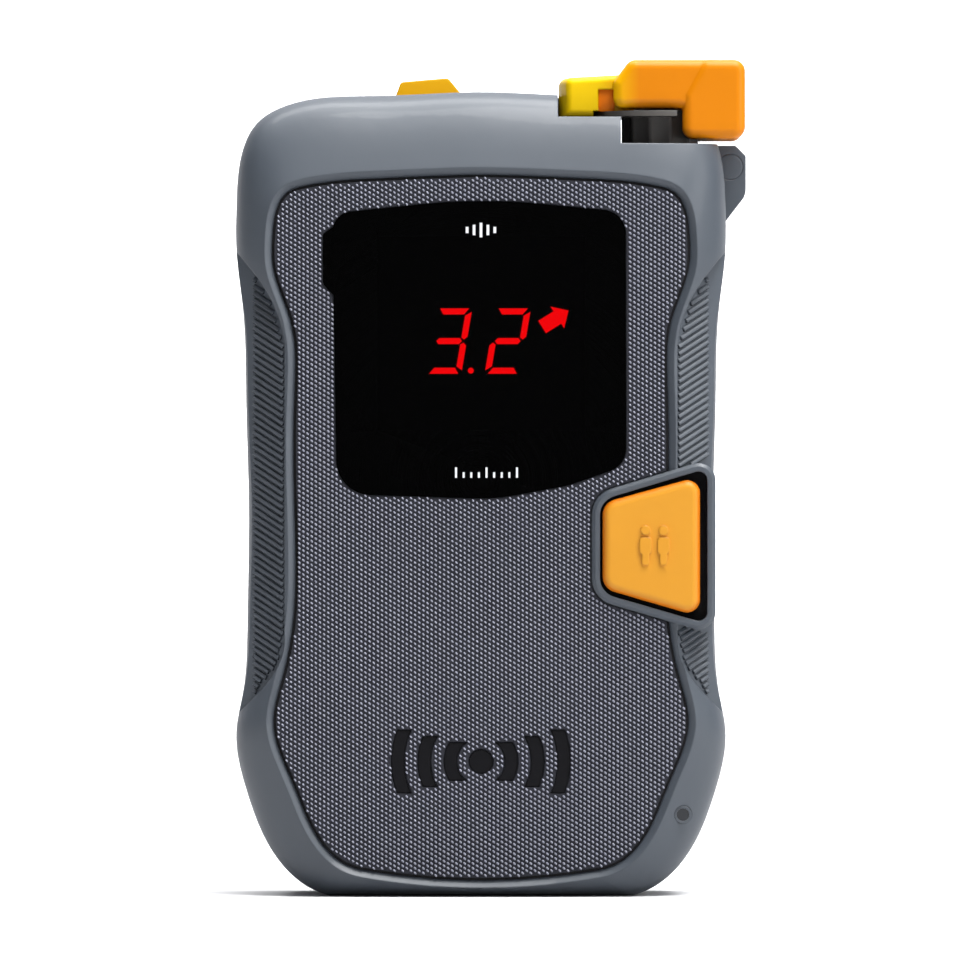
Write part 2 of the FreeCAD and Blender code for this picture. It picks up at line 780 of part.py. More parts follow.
def suppress_button():
    """The wide key with two raised figures and a stem that reaches the switch."""
    face = -size("key_front")
    key = rounded_prism(CAP_OUTLINE, -size("key_back"), face)
    edges = [edge for edge in key.Edges if edge.BoundBox.YMax < 0.5 + face]
    key = key.makeFillet(size("key_fillet"), edges)
    stem = bar_y(size("key_x"), size("key_z"), size("stem_radius"),
                 -size("key_back") - 0.5, -size("stem_end"))
    raised_to = face - size("figure_height")
    figures = []
    for x in (size("figure_x") - 1.3, size("figure_x") + 1.3):
        figures.append(bar_y(x, 53.0, 0.68, raised_to, face + 0.5))
        for half, low, high in ((0.85, 49.6, 52.0), (0.52, 48.0, 50.2)):
            outline = [(x - half, high, 0.45), (x + half, high, 0.45), (x + half, low, 0.4),
                       (x - half, low, 0.4)]
            figures.append(rounded_prism(outline, face + 0.5, raised_to))
    return key.fuse([stem] + figures)


def button_membrane():
    """The soft sheet on the floor of the key well, sealed round the key's stem."""
    outline = inset(KEY_OUTLINE, size("bezel_wall") + 0.05)
    sheet_solid = rounded_prism(outline, -size("well_floor"), -size("membrane_front"))
    return sheet_solid.cut(bar_y(size("key_x"), size("key_z"), 1.85, -FAR, 0))


piece("suppress_button", shaped("SuppressButton", suppress_button()))
piece("button_membrane", shaped("ButtonMembrane", button_membrane()))
piece("button_switch", fuse("ButtonSwitch",
      box("SwitchBase", ("key_x - 3", "key_x + 3"), ("-5.0", "board_front"),
          ("key_z - 3", "key_z + 3")),
      rod("SwitchPlunger", "y", "1.3", ("key_x", "-5.25", "key_z"), "1")))


# ---- mode lever --------------------------------------------------------------------------

def role_plane(body, role):
    """An origin plane of a body."""
    return next(plane for plane in body.Origin.OriginFeatures if plane.Role == role)


def new_sketch(body, role, name, offset):
    """A sketch on an origin plane of its own body, moved along the plane's normal."""
    sketch = body.newObject("Sketcher::SketchObject", name)
    sketch.AttachmentSupport = [(role_plane(body, role), "")]
    sketch.MapMode = "FlatFace"
    sketch.setExpression("AttachmentOffset.Base.z", bound(offset))
    return sketch


def add_outline(sketch, points):
    """Straight edges round a closed run of points, joined end to start."""
    count = len(points)
    first = sketch.GeometryCount
    for index, (a, b) in enumerate(points):
        c, d = points[(index + 1) % count]
        sketch.addGeometry(Part.LineSegment(V(a, b, 0), V(c, d, 0)), False)
    for index in range(count):
        follower = first + (index + 1) % count
        sketch.addConstraint(Sketcher.Constraint("Coincident", first + index, 2, follower, 1))


def add_circle(sketch, x, y, radius):
    """A circle at a fixed centre whose radius follows the sheet."""
    index = sketch.addGeometry(Part.Circle(V(x, y, 0), UP, 1.0), False)
    constraint = sketch.addConstraint(Sketcher.Constraint("Radius", index, 1.0))
    sketch.addConstraint(Sketcher.Constraint("DistanceX", -1, 1, index, 3, x))
    sketch.addConstraint(Sketcher.Constraint("DistanceY", -1, 1, index, 3, y))
    sketch.setExpression(f"Constraints[{constraint}]", bound(radius))


def feature(body, kind, name, sketch, length):
    """A pad or pocket of a sketch."""
    result = body.newObject("PartDesign::" + kind, name)
    result.Profile = sketch
    result.setExpression("Length", bound(length))
    doc.recompute()
    return result


def softened(outline, half_depth, radius):
    """The solid of an outline between two depths, its front and back edges rounded."""
    solid = rounded_prism(outline, -half_depth, half_depth)
    edges = [edge for edge in solid.Edges if edge.BoundBox.YLength < 0.01]
    return solid.makeFillet(radius, edges)


def lever_grip():
    """The body of the lever: a bar over the hub and a finger block that swells a little."""
    top, right = size("lever_top"), size("lever_block_right")
    shoulder = size("lever_shoulder")
    left, low, hub_low = size("lever_block_left"), size("lever_block_bottom"), size("lever_bottom")
    half = size("lever_half_depth")
    bar = [(shoulder, 118.0, 1.2), (shoulder + 2.4, top, 1.8), (right, top, 1.7),
           (right, low, 1.7), (left, low, 1.6), (left, hub_low, 0.5), (shoulder, hub_low, 1.5)]
    swell = [(left, low, 1.6), (right, low, 1.7), (right, top, 1.7), (left + 2.8, top, 1.7),
             (left, hub_low + 2.0, 1.7)]
    return softened(bar, half, 1.4).fuse(softened(swell, half + size("lever_swell"), 1.4))


def lever_tab():
    """The thin tab on the left, with a round end that stays inside the turning circle."""
    left = size("lever_x") - size("lever_reach")
    low, half = size("lever_tab_bottom"), size("lever_tab_half_depth")
    right = size("lever_shoulder") + 3.0
    outline = [(left, low, 0.3), (left, 118.6, 1.2), (right, 119.2, 0.3), (right, low, 0.3)]
    centre = V(size("lever_x"), 0, 0)
    circle = Part.makeCylinder(size("lever_reach"), TALL, centre, UP)
    tab = rounded_prism(outline, -half, half).common(circle)
    edges = [edge for edge in tab.Edges
             if edge.BoundBox.ZMax > low + 0.6 and edge.BoundBox.XMin < right - 0.1]
    tab = tab.makeFillet(1.0, edges)
    window_left = size("lever_shoulder") - 2.2
    window = block(window_left, right, -FAR, 0.5 - half, low + 0.6, 117.0)
    relief = block(size("relief_left"), FAR, -FAR, FAR, 0, size("lever_tab_relief"))
    return tab.cut([window, relief])


def mode_lever():
    """A lever across the hub, with room below for the collar and a bore for the shaft."""
    centre = V(size("lever_x"), 0, 0)
    hub_room = Part.makeCylinder(size("collar_radius") + 0.3, size("lever_bottom"), centre, UP)
    bore = Part.makeCylinder(size("shaft_radius") + 0.03, size("shaft_top") + 0.1, centre, UP)
    return lever_grip().fuse(lever_tab()).cut([hub_room, bore])


def glide_washer():
    """The dark disc under the lever, open on the right where the finger block comes down."""
    centre = V(size("lever_x"), 0, size("washer_bottom"))
    thickness = size("washer_top") - size("washer_bottom")
    disc = Part.makeCylinder(size("washer_radius"), thickness, centre, UP)
    hole = Part.makeCylinder(size("collar_radius") + 0.15, thickness, centre, UP)
    opening = block(size("lever_block_left") - 0.8, FAR, -FAR, FAR, 0, TALL)
    return disc.cut([hole, opening])


def revolved(name, profile):
    """A body turned about the lever axis from (radius, z) points."""
    body = doc.addObject("PartDesign::Body", name)
    sketch = new_sketch(body, "XZ_Plane", name + "Profile", "0")
    add_outline(sketch, profile)
    doc.recompute()
    turn = body.newObject("PartDesign::Revolution", name + "Turn")
    turn.Profile = sketch
    turn.ReferenceAxis = (sketch, ["V_Axis"])
    turn.Angle = 360
    body.setExpression("Placement.Base.x", bound("lever_x"))
    doc.recompute()
    return body


def turned_cuts(body, name, tool, plane_sketch, angle, count):
    """A sketch cut through a body and repeated about its z axis."""
    pocket = body.newObject("PartDesign::Pocket", name)
    pocket.Profile = tool
    pocket.Type = "ThroughAll"
    pocket.Midplane = True
    doc.recompute()
    repeat = body.newObject("PartDesign::PolarPattern", name + "Turned")
    repeat.Originals = [pocket]
    repeat.Axis = (plane_sketch, ["N_Axis"])
    repeat.Angle = angle
    repeat.Reversed = True
    repeat.Occurrences = count
    body.Tip = repeat
    doc.recompute()


def fluted(body):
    """The collar with shallow flutes down its rim, clear of its neck."""
    tool = new_sketch(body, "XY_Plane", "Flute", "notch_floor")
    add_circle(tool, 0, 9.35, "4.0")
    doc.recompute()
    turned_cuts(body, "FluteCut", tool, tool, 360, 12)
    return body


RING_Z = 110.6
piece("mode_lever", shaped("ModeLever", mode_lever()))
piece("glide_washer", shaped("GlideWasher", glide_washer()))
piece("switch_collar", fluted(revolved("SwitchCollar", [
    (size("collar_bore"), size("collar_top")), (size("collar_radius"), size("collar_top")),
    (size("collar_radius"), size("notch_floor") + 0.05),
    (size("neck_radius"), size("notch_floor") + 0.05), (size("neck_radius"), 106.9),
    (4.3, 106.9), (4.3, 105.8), (size("collar_bore"), 105.8),
    (size("collar_bore"), RING_Z - 0.7), (2.6, RING_Z - 0.7), (2.6, RING_Z + 0.7),
    (size("collar_bore"), RING_Z + 0.7)])))
piece("switch_shaft", revolved("SwitchShaft", [
    (0, size("shaft_bottom")), (size("shaft_radius"), size("shaft_bottom")),
    (size("shaft_radius"), 100.5), (1.2, 100.5), (1.2, 101.2), (size("shaft_radius"), 101.2),
    (size("shaft_radius"), RING_Z - 0.7), (1.3, RING_Z - 0.7), (1.3, RING_Z + 0.7),
    (size("shaft_radius"), RING_Z + 0.7), (size("shaft_radius"), size("shaft_top")),
    (0, size("shaft_top"))]))


def shaft_seal():
    """The rubber ring between the shaft and its collar."""
    seal = doc.addObject("Part::Torus", "ShaftSeal")
    seal.Radius1 = 1.98
    seal.Radius2 = 0.55
    return place(seal, "lever_x", "0", str(RING_Z))


def detent_wheel():
    """A disc with three rim notches, one for each switch position."""
    body = doc.addObject("PartDesign::Body", "DetentWheel")
    disc = new_sketch(body, "XY_Plane", "WheelDisc", "wheel_bottom")
    add_circle(disc, 0, 0, "wheel_radius")
    add_circle(disc, 0, 0, "shaft_radius + 0.03")
    doc.recompute()
    feature(body, "Pad", "WheelPad", disc, "wheel_top - wheel_bottom")
    dent = new_sketch(body, "XY_Plane", "WheelNotch", "wheel_bottom")
    add_circle(dent, 0, 5.3, "0.8")
    doc.recompute()
    turned_cuts(body, "WheelNotchCut", dent, disc, 90, 3)
    seat = new_sketch(body, "XY_Plane", "MagnetSeat", "wheel_bottom")
    add_circle(seat, -3.3, 0, "1.15")
    doc.recompute()
    pocket = feature(body, "Pocket", "MagnetPocket", seat, "1.3")
    pocket.Reversed = True
    body.setExpression("Placement.Base.x", bound("lever_x"))
    doc.recompute()
    return body


piece("shaft_seal", shaft_seal())
piece("detent_wheel", detent_wheel())
piece("switch_magnet", rod("SwitchMagnet", "z", "1.1", ("lever_x - 3.3", "0", "wheel_bottom"),
                           "1.25"))
piece("retaining_clip", ring("RetainingClip", "z", "2.6", "1.25",
                             ("lever_x", "0", "100.55"), "0.6"))
piece("detent_spring", fuse("DetentSpring",
      box("SpringLeaf", ("lever_x - 8", "lever_x + 4"), ("5.6", "5.9"), ("102", "103.6")),
      rod("SpringBump", "z", "0.45", ("lever_x", "5.6", "102"), "1.6")))


# ---- lock button -------------------------------------------------------------------------

def lock_cap():
    """The tapered push cap, its stop flange and the arm that reaches the detent wheel."""
    left, right = size("lock_left"), size("lock_right")
    front, back = size("lock_front"), size("lock_back")
    flange_top = size("lock_flange_top")
    cap = rounded_prism([(left, flange_top - 1.0, 0.1), (left, 116.4, 0.4),
                         (left + 0.7, size("lock_top") - 0.6, 0.7),
                         (right - 1.9, size("lock_top"), 0.8),
                         (right, 116.6, 0.6), (right, flange_top - 1.0, 0.1)], front, back)
    flange = block(left - 0.9, right + 1.4, front + 0.6, back - 0.6,
                   flange_top - size("lock_flange"), flange_top)
    arm_top = size("lock_arm_top")
    arm_low = arm_top - size("lock_arm_height")
    arm_front, arm_back = size("lock_arm_front"), size("lock_arm_back")
    leg = block(right, right + 1.4, arm_front, arm_back, arm_low, flange_top)
    arm = block(right, 20.5, arm_front, arm_back, arm_low, arm_top)
    return cap.fuse([flange, leg, arm])


def coil(radius, wire, low, high, turns, x, y):
    """A round-wire compression spring standing along z."""
    pitch = (high - low - 2 * wire) / turns
    path = Part.makeHelix(pitch, pitch * turns, radius)
    profile = Part.Wire(Part.makeCircle(wire, V(radius, 0, 0), BACK))
    spring = Part.Wire(path.Edges).makePipeShell([profile], True, True)
    spring.translate(V(x, y, low + wire))
    return spring


piece("lock_button", shaped("LockButton", lock_cap()))
piece("lock_spring", shaped("LockSpring", Part.makeCompound(
    [coil(1.9, 0.3, size("shelf_top") + 0.05, 112.4, 6, -7.6, 5.0)])))


# ---- battery door and cells --------------------------------------------------------------

def battery_door():
    """The door plate with its screw tab, hinge barrel and stub pins."""
    half = size("door_half_width")
    inner, outer = size("door_inner"), size("back_depth")
    hinge_z = size("hinge_z")
    plate = block(-half, half, inner, outer, hinge_z, size("door_top"))
    tab = bar_y(0, size("screw_z"), DOOR_TAB_RADIUS, inner, outer)
    start = V(-half, inner, hinge_z)
    barrel = Part.makeCylinder(size("hinge_radius"), 2 * half, start, RIGHT)
    reach = half + size("stub_length")
    stubs = Part.makeCylinder(size("stub_radius"), 2 * reach, V(-reach, inner, hinge_z), RIGHT)
    door = plate.fuse([tab, barrel, stubs])
    grips = [block(-9.0, 9.0, outer - 0.5, FAR, z, z + 0.9) for z in (44.0, 46.2, 48.4, 50.6)]
    head = bar_y(0, size("screw_z"), size("screw_head") + 0.2, outer - 0.9, FAR)
    return door.cut([head, bar_y(0, size("screw_z"), 1.8, 0, FAR)] + grips)


def door_screw():
    """A coin-slot screw kept in the door tab."""
    outer = size("back_depth")
    head = bar_y(0, size("screw_z"), size("screw_head"), outer - 0.85, outer + 0.35)
    shank = bar_y(0, size("screw_z"), size("screw_shank"), 8.0, outer)
    slot = block(-3.6, 3.6, outer - 0.35, FAR, size("screw_z") - 0.55, size("screw_z") + 0.55)
    return head.fuse(shank).cut(slot)


piece("battery_door", shaped("BatteryDoor", battery_door()))
piece("door_screw", shaped("DoorScrew", door_screw()))
piece("door_insert", ring("DoorInsert", "y", "insert_radius - 0.02", "insert_bore",
                          ("0", "7.1", "screw_z"), "4.2"))
piece("door_seal", cut("DoorSeal",
      box("SealOutside", ("-17.4", "17.4"), ("11.3", "11.7"), ("9.3", "57.2")),
      box("SealInside", ("-16.6", "16.6"), ("11", "12"), ("10.1", "56.4"))))


def at_cells(name, make):
    """One solid at each of the three cells."""
    return group(name, *[make(f"{name}{index}", f"{index - 1} * cell_pitch")
                         for index in range(3)])


def cell(name, x):
    can = rod(name + "Can", "z", "cell_radius", (x, "cell_y", "cell_bottom"), "cell_length - 1")
    tip = rod(name + "Tip", "z", "2.7", (x, "cell_y", "cell_bottom"), "cell_length")
    return fuse(name, can, tip)


def contact(name, x):
    return box(name, (f"{x} - 4", f"{x} + 4"), ("cell_y - 4", "cell_y + 4"),
               ("bay_top - 0.5", "bay_top - 0.1"))


piece("batteries", at_cells("Cell", cell))
piece("battery_contacts", at_cells("Contact", contact))
piece("battery_springs", shaped("BatterySprings", Part.makeCompound(
    [coil(2.6, 0.2, size("bay_bottom") + 0.05, size("cell_bottom") - 0.05, 3,
          index * size("cell_pitch"), size("cell_y")) for index in (-1, 0, 1)])))


# ---- board, antennas and speaker ---------------------------------------------------------

def main_board():
    """The circuit board: a tab for the light at the lower right, a cut for the lever shaft."""
    body = doc.addObject("PartDesign::Body", "MainBoard")
    half, low, high = size("board_half_width"), size("board_bottom"), size("board_top")
    sketch = new_sketch(body, "XZ_Plane", "BoardOutline", "-board_back")
    add_outline(sketch, [(-half + 6, low), (half - 2, low), (half - 2, 10.8), (30.0, 10.8),
                         (30.0, 13.4), (half, 13.4), (half, 94), (17, 97.5), (17, high - 1),
                         (-half + 4, high - 1), (-half, high - 5), (-half, 18)])
    for x in (-20, 20):
        for z in (22, 64):
            add_circle(sketch, x, z, "1.2")
    doc.recompute()
    feature(body, "Pad", "BoardPad", sketch, "board_back - board_front")
    return body


def at_points(name, points, make):
    """One solid at each point, in one sub-part."""
    return group(name, *[make(f"{name}{index}", *point) for index, point in enumerate(points)])


def chip(name, x, z, width, height):
    """A flat package on the front of the board."""
    return box(name, (f"{x - width / 2}", f"{x + width / 2}"), ("-4.0", "board_front"),
               (f"{z - height / 2}", f"{z + height / 2}"))


def board_screw(name, x, z):
    """A screw with a round head on the front of the board."""
    head = rod(name + "Head", "y", "2.0", (str(x), "board_front - 1.2", str(z)), "1.2")
    return fuse(name, head, rod(name + "Shank", "y", "1.1", (str(x), "-3.5", str(z)), "4.6"))


BOARD_POINTS = [(-20, 22), (20, 22), (-20, 64), (20, 64)]
piece("main_board", main_board())
piece("processor_chips", at_points("Chip", [(-6, 55, 10, 10), (6, 40, 7, 7), (-12, 38, 6, 8),
                                            (0, 26, 9, 5)], chip))
piece("hall_sensors", at_points("Hall", [(20, 93.5, 3, 2), (24.5, 92, 3, 2)], chip))
piece("board_screws", at_points("BoardScrew", BOARD_POINTS, board_screw))
piece("antenna_rod_long", rod("LongRod", "z", "rod_radius",
                              ("long_rod_x", "antenna_y", "long_rod_bottom"),
                              "long_rod_top - long_rod_bottom"))
piece("antenna_coil_long", ring("LongCoil", "z", "coil_radius", "rod_radius + 0.05",
                                ("long_rod_x", "antenna_y", "long_rod_bottom + 6"),
                                "long_rod_top - long_rod_bottom - 12"))
piece("antenna_rod_short", rod("ShortRod", "x", "rod_radius",
                               ("short_rod_left", "antenna_y", "short_rod_z"),
                               "short_rod_right - short_rod_left"))
piece("antenna_coil_short", ring("ShortCoil", "x", "coil_radius", "rod_radius + 0.05",
                                 ("short_rod_left + 4", "antenna_y", "short_rod_z"),
                                 "short_rod_right - short_rod_left - 8"))
piece("z_axis_coil", ring("UprightCoil", "y", "5.5", "3.0", ("-12", "1", "79"), "5"))
piece("speaker", rod("Speaker", "y", "speaker_radius", ("speaker_x", "6.5", "speaker_z"), "4"))
piece("speaker_mesh", rod("SpeakerMesh", "y", "8.5", ("speaker_x", "10.9", "speaker_z"), "0.3"))


# ---- light, lanyard bar and case screws --------------------------------------------------

piece("light_pipe", rod("LightPipe", "y", "light_radius",
                        ("light_x", "-light_front", "light_z"),
                        "light_front + board_front - 0.05"))
piece("light_ring", ring("LightRing", "y", "light_ring", "light_radius + 0.02",
                         ("light_x", "-light_front", "light_z"), "4"))
piece("lanyard_bar", fuse("LanyardBar",
      rod("BarShank", "y", "bar_radius", ("bar_x", "ear_front", "bar_z"), "8.2"),
      rod("BarHead", "y", "bar_head", ("bar_x", "ear_front", "bar_z"), "1.15")))


def case_screw(name, side, z):
    """A screw from the back with a hexagonal drive."""
    x = f"{side} * boss_x"
    shank = rod(name + "Shank", "y", "case_screw_radius", (x, "-6", z), "17")
    head = rod(name + "Head", "y", "head_radius", (x, "head_seat + 0.05", z), "1.6")
    drive = doc.addObject("Part::Prism", name + "Drive")
    drive.Polygon = 6
    drive.Circumradius = 1.1
    drive.Placement = FreeCAD.Placement(V(), turned("y"))
    drive.Height = 2
    place(drive, x, "11.4", z)
    return cut(name, fuse(name + "Blank", shank, head), drive)


piece("case_screws", at_points("CaseScrew", [(side, z) for side in (-1, 1)
                                             for z in ("boss_low_z", "boss_high_z")],
                               case_screw))


# ---- check and write ---------------------------------------------------------------------

doc.recompute()
for thing in doc.Objects:
    faults = [state for state in thing.State if state in ("Invalid", "Error")]
    if faults:
        raise RuntimeError(f"{thing.Name} failed: {faults}")
for thing in pieces:
    if thing.Shape.isNull() or not thing.Shape.isValid():
        raise RuntimeError(f"{thing.Label} has no valid shape")
os.makedirs("parts", exist_ok=True)
for thing in pieces:
    thing.Shape.exportStep(os.path.join("parts", thing.Label + ".step"))
    volume = sum(solid.Volume for solid in thing.Shape.Solids)
    print(f"{thing.Label}: {len(thing.Shape.Solids)} solids, {volume:.1f} mm3")
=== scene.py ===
"""Looks for the avalanche transceiver: materials, the embossed grip panel, the grip ribs,
and a plain studio. Lengths are in metres; MM turns millimetres into metres."""
import json
import math
import random

import bmesh
import bpy
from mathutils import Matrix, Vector
from mathutils.bvhtree import BVHTree


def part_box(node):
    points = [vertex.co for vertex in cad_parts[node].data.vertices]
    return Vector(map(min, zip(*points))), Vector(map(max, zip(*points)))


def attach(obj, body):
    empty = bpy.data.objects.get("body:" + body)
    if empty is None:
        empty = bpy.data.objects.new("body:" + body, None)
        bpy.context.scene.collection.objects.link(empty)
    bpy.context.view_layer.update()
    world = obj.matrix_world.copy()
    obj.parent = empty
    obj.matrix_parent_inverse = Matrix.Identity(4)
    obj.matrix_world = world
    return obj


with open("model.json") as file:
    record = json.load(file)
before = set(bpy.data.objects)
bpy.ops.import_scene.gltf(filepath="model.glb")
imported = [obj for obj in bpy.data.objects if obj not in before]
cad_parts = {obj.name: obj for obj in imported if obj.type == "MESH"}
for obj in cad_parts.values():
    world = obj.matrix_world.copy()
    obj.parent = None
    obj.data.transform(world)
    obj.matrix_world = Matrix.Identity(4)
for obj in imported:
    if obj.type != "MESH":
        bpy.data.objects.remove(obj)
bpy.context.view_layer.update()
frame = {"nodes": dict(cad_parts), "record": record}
MM = 0.001
random.seed(7)

shell_low, shell_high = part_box("front_shell")
panel_low, panel_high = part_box("grip_panel")


# ---- material building -------------------------------------------------------------------

class Shader:
    """One material, with short ways to add and link its nodes."""

    def __init__(self, name):
        self.material = bpy.data.materials.new(name)
        self.material.use_nodes = True
        self.tree = self.material.node_tree
        self.tree.nodes.clear()
        self.output = self.add("ShaderNodeOutputMaterial")

    def add(self, kind, **values):
        node = self.tree.nodes.new(kind)
        for key, value in values.items():
            if key in node.inputs:
                node.inputs[key].default_value = value
            else:
                setattr(node, key, value)
        return node

    def link(self, source, target):
        self.tree.links.new(source, target)

    def noise(self, scale, detail=3.0):
        """Noise over object space; the scale counts features per metre."""
        node = self.add("ShaderNodeTexNoise", Scale=scale, Detail=detail)
        self.link(self.coordinates(), node.inputs["Vector"])
        return node.outputs["Fac"]

    def coordinates(self):
        return self.add("ShaderNodeTexCoord").outputs["Object"]

    def blend(self, factor, first, second):
        """A colour between two, by a factor socket."""
        mix = self.add("ShaderNodeMix", data_type="RGBA")
        self.link(factor, mix.inputs[0])
        for socket, value in ((mix.inputs[6], first), (mix.inputs[7], second)):
            if isinstance(value, tuple):
                socket.default_value = (*value, 1.0)
            else:
                self.link(value, socket)
        return mix.outputs[2]

    def remap(self, value, low, high, to_low, to_high):
        node = self.add("ShaderNodeMapRange")
        self.link(value, node.inputs["Value"])
        for key, number in (("From Min", low), ("From Max", high),
                            ("To Min", to_low), ("To Max", to_high)):
            node.inputs[key].default_value = number
        return node.outputs["Result"]

    def edge_mask(self, radius):
        """Near 1 on worn convex and concave edges, 0 on flats; also the rounded normal."""
        bevel = self.add("ShaderNodeBevel", Radius=radius)
        bevel.samples = 6
        geometry = self.add("ShaderNodeNewGeometry")
        dot = self.add("ShaderNodeVectorMath", operation="DOT_PRODUCT")
        self.link(bevel.outputs["Normal"], dot.inputs[0])
        self.link(geometry.outputs["Normal"], dot.inputs[1])
        return self.remap(dot.outputs["Value"], 0.995, 0.85, 0.0, 1.0), bevel.outputs["Normal"]


def tint(colour, factor):
    """A colour made lighter or darker, kept at or below white."""
    return tuple(min(1.0, channel * factor) for channel in colour)


def surface(name, colour, roughness=0.45, grain=9000.0, bump=0.15, bevel=0.0, wear=0.25,
            metallic=0.0, coat=0.0, mottle=0.08, smudge=60.0, specular=0.5, warm=None,
            painted_rim_shade=None):
    """A moulded or machined surface: mottled colour, fine grain, soft edges, worn corners.
    Warm is a second colour with the two x values over which it fades to the first; the
    last argument is a darker colour painted on the faces turned away from the front, as painted
    shade."""
    shader = Shader(name)
    body = shader.add("ShaderNodeBsdfPrincipled", Metallic=metallic)
    body.inputs["Coat Weight"].default_value = coat
    body.inputs["Specular IOR Level"].default_value = specular
    patches = shader.noise(smudge, 5.0)
    base = shader.blend(patches, tint(colour, 1 - mottle), tint(colour, 1 + mottle))
    if warm:
        second, from_x, to_x = warm
        split = shader.add("ShaderNodeSeparateXYZ")
        shader.link(shader.coordinates(), split.inputs[0])
        fade = shader.remap(split.outputs["X"], from_x, to_x, 0.0, 1.0)
        base = shader.blend(fade, second, base)
    # Painted shade: faces that turn away from the front take a darker colour.
    if painted_rim_shade:
        split = shader.add("ShaderNodeSeparateXYZ")
        shader.link(shader.add("ShaderNodeTexCoord").outputs["Normal"], split.inputs[0])
        painted_shade_mask = shader.remap(split.outputs["Y"], -0.98, -0.55, 0.0, 1.0)
        base = shader.blend(painted_shade_mask, base, painted_rim_shade)
    grit = shader.noise(grain, 2.0)
    roughened = shader.remap(patches, 0.3, 0.7, roughness - 0.05, roughness + 0.07)
    relief = shader.add("ShaderNodeBump", Strength=bump, Distance=0.00006)
    shader.link(grit, relief.inputs["Height"])
    if bevel:
        edge, rounded = shader.edge_mask(bevel)
        scuffs = shader.noise(1400.0, 4.0)
        broken = shader.add("ShaderNodeMath", operation="MULTIPLY")
        shader.link(edge, broken.inputs[0])
        shader.link(shader.remap(scuffs, 0.35, 0.65, 0.0, wear), broken.inputs[1])
        base = shader.blend(broken.outputs[0], base, tint(colour, 1.9))
        shader.link(rounded, relief.inputs["Normal"])
    shader.link(base, body.inputs["Base Color"])
    shader.link(roughened, body.inputs["Roughness"])
    shader.link(relief.outputs["Normal"], body.inputs["Normal"])
    shader.link(body.outputs[0], shader.output.inputs["Surface"])
    return shader.material


def smoked_lens(name):
    """Black polished plastic that lets the lights behind it show through."""
    shader = Shader(name)
    gloss = shader.add("ShaderNodeBsdfPrincipled", Roughness=0.06)
    gloss.inputs["Specular IOR Level"].default_value = 0.05
    hairlines = shader.noise(700.0, 6.0)
    base = shader.blend(hairlines, (0.0006, 0.0006, 0.0007), (0.0016, 0.0016, 0.0018))
    shader.link(base, gloss.inputs["Base Color"])
    shader.link(shader.remap(hairlines, 0.4, 0.7, 0.05, 0.12), gloss.inputs["Roughness"])
    clear = shader.add("ShaderNodeBsdfTransparent", Color=(0.16, 0.15, 0.15, 1.0))
    mix = shader.add("ShaderNodeMixShader", Fac=0.6)
    shader.link(gloss.outputs[0], mix.inputs[1])
    shader.link(clear.outputs[0], mix.inputs[2])
    shader.link(mix.outputs[0], shader.output.inputs["Surface"])
    return shader.material


def glow(name, colour, strength):
    """A lit segment, its colour varying a little with noise."""
    shader = Shader(name)
    light = shader.add("ShaderNodeEmission", Strength=strength)
    flicker = shader.noise(900.0, 2.0)
    shader.link(shader.blend(flicker, tint(colour, 0.9), colour), light.inputs["Color"])
    shader.link(light.outputs[0], shader.output.inputs["Surface"])
    return shader.material


def wound(name, colour, turns_per_metre):
    """Wire wound in fine turns along z."""
    shader = Shader(name)
    body = shader.add("ShaderNodeBsdfPrincipled", Metallic=0.8, Roughness=0.35)
    wave = shader.add("ShaderNodeTexWave", Scale=turns_per_metre, bands_direction="Z")
    shader.link(shader.coordinates(), wave.inputs["Vector"])
    relief = shader.add("ShaderNodeBump", Strength=0.8, Distance=0.0002)
    shader.link(wave.outputs["Fac"], relief.inputs["Height"])
    shader.link(relief.outputs["Normal"], body.inputs["Normal"])
    shader.link(shader.blend(wave.outputs["Fac"], tint(colour, 0.5), colour),
                body.inputs["Base Color"])
    shader.link(body.outputs[0], shader.output.inputs["Surface"])
    return shader.material


SHELL = (0.065, 0.077, 0.094)
PANEL = (0.29, 0.30, 0.375)
LEVER = (0.64, 0.195, 0.0)
LEVER_YELLOW = (0.78, 0.51, 0.0)
KEY = (0.66, 0.29, 0.022)

